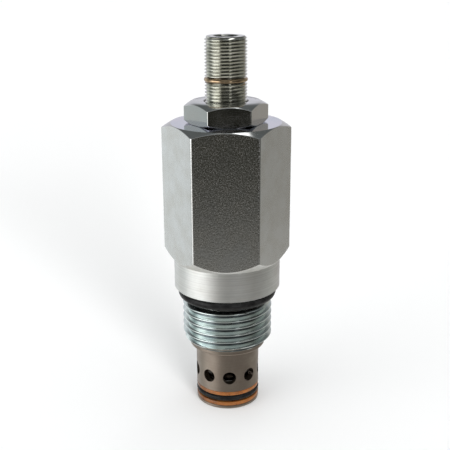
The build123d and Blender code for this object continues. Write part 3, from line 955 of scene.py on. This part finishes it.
# ------------------------------------------------------------------ springs
def spring(name, node, turns, wire, mean, clear=0.0):
    """A compression spring with closed, ground ends, as tall as its CAD node.

    Its foot stays clear of a seat that lifts on a joint of its own.
    """
    low, high = span(node)
    low.z += clear
    all_turns = turns + 2 * CLOSED_TURNS
    share = np.linspace(0, all_turns, int(all_turns * TURN_STEPS))
    ends = wire * CLOSED_RISE
    active = (high.z - low.z) - 2 * wire - 2 * ends
    rise = np.interp(
        share,
        [0, CLOSED_TURNS, CLOSED_TURNS + turns, all_turns],
        [0, ends, ends + active, 2 * ends + active],
    )
    angle = share * TURN
    path = np.stack([mean * np.cos(angle), mean * np.sin(angle), low.z + wire + rise], -1)
    mesh = tube_mesh(name, path, wire, SPRING, SPRING_WIRE_SIDES, low.z, high.z)
    shade(mesh, 50)
    piece = bpy.data.objects.new(name, mesh)
    bpy.context.scene.collection.objects.link(piece)
    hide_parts(node)
    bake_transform(piece)


def finish_cad_nodes():
    """Inner pieces whose CAD shape is right keep it and get their materials."""
    # the ground steel here is darkened: painted shade for the inside seen through the cross holes
    wanted = {
        "main_poppet": GROUND_SHADED,
        "orifice_plug": SPRING,
        "filter_screen": BRASS,
        "filter_retaining_ring": SPRING,
        "pilot_seat": GROUND_SHADED,
        "pilot_poppet": GROUND_SHADED,
        "spring_button": GROUND_SHADED,
    }
    for node, material in wanted.items():
        mesh = frame["nodes"][node].data
        mesh.materials.clear()
        mesh.materials.append(material)


# ------------------------------------------------------------------ stage
CAMERA_AWAY = 195.77  # from the valve's axis
CAMERA_HEIGHT = 78.23
CAMERA_AZIMUTH = 0.97  # degrees round from -Y
CAMERA_PITCH = 17.864  # degrees below level
CAMERA_ROLL = -0.33
SENSOR = 36.0
FOCAL_LENGTH = 67.48
SIDE_SHIFT = -0.004
CLIP = (0.01, 20)
FLOOR_HALF = 4.0
FLOOR_TONE = (0.9, 0.9, 0.9, 1)


def camera():
    azimuth, pitch, roll = (
        math.radians(value) for value in (CAMERA_AZIMUTH, CAMERA_PITCH, CAMERA_ROLL)
    )
    forward = Vector((
        -math.sin(azimuth) * math.cos(pitch),
        math.cos(azimuth) * math.cos(pitch),
        -math.sin(pitch),
    ))
    right = Vector((math.cos(azimuth), math.sin(azimuth), 0))
    up = right.cross(forward)
    rolled_right = right * math.cos(roll) + up * math.sin(roll)
    rolled_up = up * math.cos(roll) - right * math.sin(roll)
    data = bpy.data.cameras.new("camera")
    data.sensor_width = SENSOR
    data.lens = FOCAL_LENGTH
    data.shift_x = SIDE_SHIFT
    data.clip_start, data.clip_end = CLIP
    shooter = bpy.data.objects.new("camera", data)
    axes = Matrix((rolled_right, rolled_up, -forward)).transposed().to_4x4()
    spot = Vector((
        math.sin(azimuth) * CAMERA_AWAY, -math.cos(azimuth) * CAMERA_AWAY, CAMERA_HEIGHT
    ))
    shooter.matrix_world = Matrix.Translation(spot * MM) @ axes
    bpy.context.scene.collection.objects.link(shooter)
    bpy.context.scene.camera = shooter


def floor():
    """A wide, plain, pale floor under the nose. Metal doesn't mirror it."""
    mesh = bpy.data.meshes.new("floor")
    height = CAGE_LOW.z * MM
    ways = ((-1, -1), (1, -1), (1, 1), (-1, 1))
    corners = [(x * FLOOR_HALF, y * FLOOR_HALF, height) for x, y in ways]
    mesh.from_pydata(corners, [], [(0, 1, 2, 3)])
    shader = Shader("floor_paint")
    shader.set(Base_Color=FLOOR_TONE, Roughness=0.9, Specular_IOR_Level=0.1)
    mesh.materials.append(shader.material)
    piece = bpy.data.objects.new("floor", mesh)
    piece.visible_glossy = False
    bpy.context.scene.collection.objects.link(piece)


def sun(name, azimuth, elevation, spread, strength):
    """A soft light for the floor and the seals. The metal mirrors only the room."""
    data = bpy.data.lights.new(name, "SUN")
    data.energy = strength
    data.angle = math.radians(spread)
    lamp = bpy.data.objects.new(name, data)
    turn, rise = math.radians(azimuth), math.radians(elevation)
    away = Vector((
        math.sin(turn) * math.cos(rise), -math.cos(turn) * math.cos(rise), math.sin(rise)
    ))
    lamp.rotation_mode = "QUATERNION"
    lamp.rotation_quaternion = (-away).to_track_quat("-Z", "Y")
    lamp.visible_glossy = False
    bpy.context.scene.collection.objects.link(lamp)


# tone of the room at eye level, by azimuth in degrees round from -Y, positive towards +X
ROOM_TONES = (
    (-180, (0.72, 0.72, 0.78)),
    (-160, (0.62, 0.62, 0.66)),
    (-130, (1.0, 1.04, 1.04)),
    (-106, (0.4, 0.44, 0.44)),
    (-35, (0.2, 0.19, 0.17)),
    (-18, (0.055, 0.053, 0.044)),
    (5, (0.04, 0.039, 0.031)),
    (14, (0.01, 0.01, 0.008)),
    (40, (0.04, 0.038, 0.032)),
    (75, (0.08, 0.075, 0.065)),
    (105, (0.3, 0.31, 0.29)),
    (135, (0.38, 0.36, 0.33)),
    (180, (0.72, 0.72, 0.78)),
)
PAPER_TONE = (0.8, 0.79, 0.76, 1)
CEILING_TONE = (0.13, 0.14, 0.14, 1)
ZENITH_TONE = (0.42, 0.44, 0.44, 1)
BACKDROP = (1, 1, 1, 1)
# sines of elevation where a blend starts and ends, its share there, and the tone beyond
ROOM_BANDS = (
    (-0.24, -0.5, 0.45, PAPER_TONE),
    (-0.5, -0.75, 1.0, PAPER_TONE),
    (0.25, 0.6, 1.0, CEILING_TONE),
    (0.95, 0.995, 1.0, ZENITH_TONE),
)
# azimuth, half width, lowest and highest sine of elevation, softness, glow
BRIGHT_PATCHES = (
    (-64, 28, -0.5, 0.7, 0.12, 1.0),  # window to the left
    (-58, 22, -0.22, 0.5, 0.08, 2.0),  # its brighter upper half
    (156, 10, 0.86, 0.985, 0.04, 3.5),  # lamp overhead, behind to the right
    (26, 6, -0.2, 0.3, 0.08, 1.4),  # narrow strip right of the camera
    (12, 55, 0.35, 0.85, 0.15, 0.3),  # softbox above the camera
)


PATCH_BLUR = 0.4  # share of a patch's half width over which its sides fade


def patch(nodes, turn, height, azimuth, half_width, low, high, soft, glow):
    """Glow of a soft-edged bright patch in the room."""
    away = nodes.node("Math", {0: turn, 1: math.radians(azimuth)}, operation="SUBTRACT")
    away = nodes.node("Math", {0: away}, operation="ABSOLUTE")
    wide = math.radians(half_width)
    outer, inner = wide * (1 + PATCH_BLUR), wide * (1 - PATCH_BLUR)
    shown = nodes.map(away, outer, inner, 0.0, glow, smooth=True)
    shown = nodes.times(shown, nodes.map(height, low, low + soft, smooth=True))
    return nodes.times(shown, nodes.map(height, high, high - soft, smooth=True))


def room():
    """Surroundings: dim behind the camera, a window to its left, pale all round the back."""
    world = bpy.data.worlds.new("room")
    bpy.context.scene.world = world
    world.use_nodes = True
    nodes = Nodes(world.node_tree)
    way = nodes.add("TexCoord").outputs["Generated"]
    x, y, z = nodes.add("SeparateXYZ", {0: way}).outputs
    turn = nodes.node("Math", {0: x, 1: nodes.times(y, -1.0)}, operation="ARCTAN2")
    stops = [((azimuth + 180) / 360, tone) for azimuth, tone in ROOM_TONES]
    tone = nodes.ramp(nodes.map(turn, -math.pi, math.pi), *stops)
    for low, high, share, beyond in ROOM_BANDS:
        tone = nodes.mix(nodes.map(z, low, high, 0.0, share, smooth=True), tone, beyond)
    glow = 0.0
    for values in BRIGHT_PATCHES:
        glow = nodes.sum(patch(nodes, turn, z, *values), glow)
    glow_tone = nodes.node("CombineXYZ", {0: glow, 1: glow, 2: glow})
    lit = nodes.node("VectorMath", {0: tone, 1: glow_tone}, operation="ADD")
    seen = nodes.add("LightPath").outputs["Is Camera Ray"]
    shown = nodes.mix(seen, lit, BACKDROP)
    nodes.put(world.node_tree.nodes["Background"].inputs["Color"], shown)


# ------------------------------------------------------------------ the whole valve
camera()
room()
floor()
sun("lamp", 24, 9, 24, 5.2)
sun("ceiling", 0, 90, 100, 1.6)

hex_body()
adjusting_screw()
lock_nut()
snap_ring()
cage()
torus("shoulder_seal", "shoulder_o_ring", "valve_body")
torus("nose_seal", "nose_o_ring", "valve_body")
torus("pilot_seat_seal", "pilot_seat_o_ring", "valve_body")
torus("adjuster_seal", "adjuster_o_ring", "adjuster")
torus("nut_seal", "nut_seal_ring", "nut_seal")
for level in ("upper", "lower"):
    backup_ring(f"nose_backup_{level}", f"nose_backup_ring_{level}", "valve_body",
                NOSE_R, BACKUP_INNER_R)
backup_ring("adjuster_backup", "adjuster_backup_ring", "adjuster",
            ADJUSTER_BACKUP_OUTER_R, ADJUSTER_BACKUP_INNER_R)
spring("poppet_spring", "main_spring", turns=6, wire=0.5, mean=3.55)
spring("setting_spring", "pilot_spring", turns=5, wire=0.85, mean=3.85,
       clear=PILOT_LIFT)
finish_cad_nodes()

bpy.context.scene.view_settings.view_transform = "Standard"
